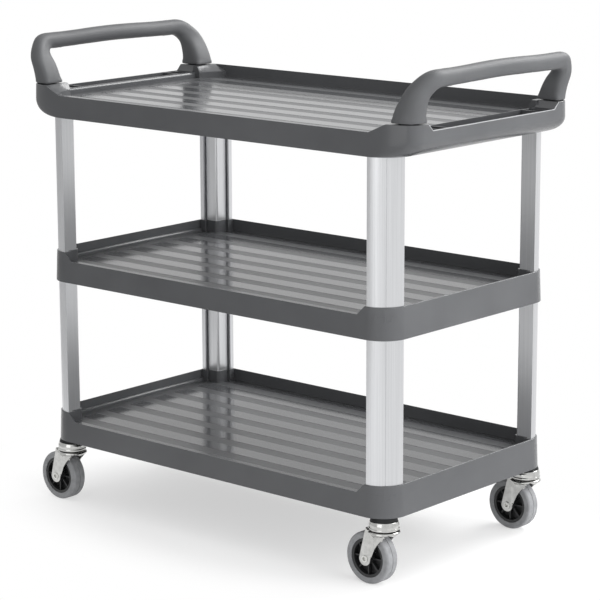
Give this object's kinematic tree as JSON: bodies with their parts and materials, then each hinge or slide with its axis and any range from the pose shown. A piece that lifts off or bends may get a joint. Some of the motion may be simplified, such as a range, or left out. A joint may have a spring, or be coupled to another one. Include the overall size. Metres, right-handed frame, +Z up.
{
  "type": "service cart",
  "caption": "Open-shelf service cart with moulded trays on aluminium corner columns, a push handle at each end and swivel casters with rubber tyres.",
  "frame": {"origin": "on the floor, under the middle of the cart", "axes": "+X along the length, towards the right-hand handle; +Y from the low front lips to the back walls; +Z up"},
  "size_m": [1.0322, 0.505, 0.96],
  "materials": {
    "tray_plastic": "satin",
    "handle_plastic": "matte",
    "collar_plastic": "matte",
    "hub_plastic": "satin",
    "bush_plastic": "satin",
    "tyre_rubber": "matte",
    "aluminium": "satin anodised",
    "plated_steel": "bright plated",
    "zinc_steel": "zinc plated",
    "ball_steel": "polished",
    "brass": "machined"
  },
  "bodies": {
    "cart": {"bottom_tray": "tray_plastic", "middle_tray": "tray_plastic", "top_tray": "tray_plastic", "left_handle": "handle_plastic", "right_handle": "handle_plastic", "handle_screws": "zinc_steel", "tie_rods": "zinc_steel", "coupling_nuts": "zinc_steel", "threaded_inserts": "brass", "front_left_lower_column": "aluminium", "front_left_upper_column": "aluminium", "front_left_stem": "zinc_steel", "front_left_collar": "collar_plastic", "front_left_swivel_cup": "plated_steel", "front_left_bearing_balls": "ball_steel", "front_right_lower_column": "aluminium", "front_right_upper_column": "aluminium", "front_right_stem": "zinc_steel", "front_right_collar": "collar_plastic", "front_right_swivel_cup": "plated_steel", "front_right_bearing_balls": "ball_steel", "rear_left_lower_column": "aluminium", "rear_left_upper_column": "aluminium", "rear_left_stem": "zinc_steel", "rear_left_collar": "collar_plastic", "rear_left_swivel_cup": "plated_steel", "rear_left_bearing_balls": "ball_steel", "rear_right_lower_column": "aluminium", "rear_right_upper_column": "aluminium", "rear_right_stem": "zinc_steel", "rear_right_collar": "collar_plastic", "rear_right_swivel_cup": "plated_steel", "rear_right_bearing_balls": "ball_steel"},
    "front_left_swivel": {"front_left_fork": "plated_steel", "front_left_axle": "zinc_steel", "front_left_axle_nut": "zinc_steel"},
    "front_left_wheel": {"front_left_hub": "hub_plastic", "front_left_tyre": "tyre_rubber", "front_left_bush": "bush_plastic"},
    "front_right_swivel": {"front_right_fork": "plated_steel", "front_right_axle": "zinc_steel", "front_right_axle_nut": "zinc_steel"},
    "front_right_wheel": {"front_right_hub": "hub_plastic", "front_right_tyre": "tyre_rubber", "front_right_bush": "bush_plastic"},
    "rear_left_swivel": {"rear_left_fork": "plated_steel", "rear_left_axle": "zinc_steel", "rear_left_axle_nut": "zinc_steel"},
    "rear_left_wheel": {"rear_left_hub": "hub_plastic", "rear_left_tyre": "tyre_rubber", "rear_left_bush": "bush_plastic"},
    "rear_right_swivel": {"rear_right_fork": "plated_steel", "rear_right_axle": "zinc_steel", "rear_right_axle_nut": "zinc_steel"},
    "rear_right_wheel": {"rear_right_hub": "hub_plastic", "rear_right_tyre": "tyre_rubber", "rear_right_bush": "bush_plastic"}
  },
  "joints": [
    {"name": "front_left_swivel", "type": "hinge", "parent": "cart", "child": "front_left_swivel", "pos_m": [-0.4141, -0.2206, 0.107], "axis": [0, 0, 1], "continuous": true},
    {"name": "front_left_roll", "type": "hinge", "parent": "front_left_swivel", "child": "front_left_wheel", "pos_m": [-0.4421, -0.2206, 0.05], "axis": [0, 1, 0], "continuous": true},
    {"name": "front_right_swivel", "type": "hinge", "parent": "cart", "child": "front_right_swivel", "pos_m": [0.4141, -0.2206, 0.107], "axis": [0, 0, 1], "continuous": true},
    {"name": "front_right_roll", "type": "hinge", "parent": "front_right_swivel", "child": "front_right_wheel", "pos_m": [0.3861, -0.2206, 0.05], "axis": [0, 1, 0], "continuous": true},
    {"name": "rear_left_swivel", "type": "hinge", "parent": "cart", "child": "rear_left_swivel", "pos_m": [-0.4141, 0.2206, 0.107], "axis": [0, 0, 1], "continuous": true},
    {"name": "rear_left_roll", "type": "hinge", "parent": "rear_left_swivel", "child": "rear_left_wheel", "pos_m": [-0.4421, 0.2206, 0.05], "axis": [0, 1, 0], "continuous": true},
    {"name": "rear_right_swivel", "type": "hinge", "parent": "cart", "child": "rear_right_swivel", "pos_m": [0.4141, 0.2206, 0.107], "axis": [0, 0, 1], "continuous": true},
    {"name": "rear_right_roll", "type": "hinge", "parent": "rear_right_swivel", "child": "rear_right_wheel", "pos_m": [0.3861, 0.2206, 0.05], "axis": [0, 1, 0], "continuous": true}
  ]
}
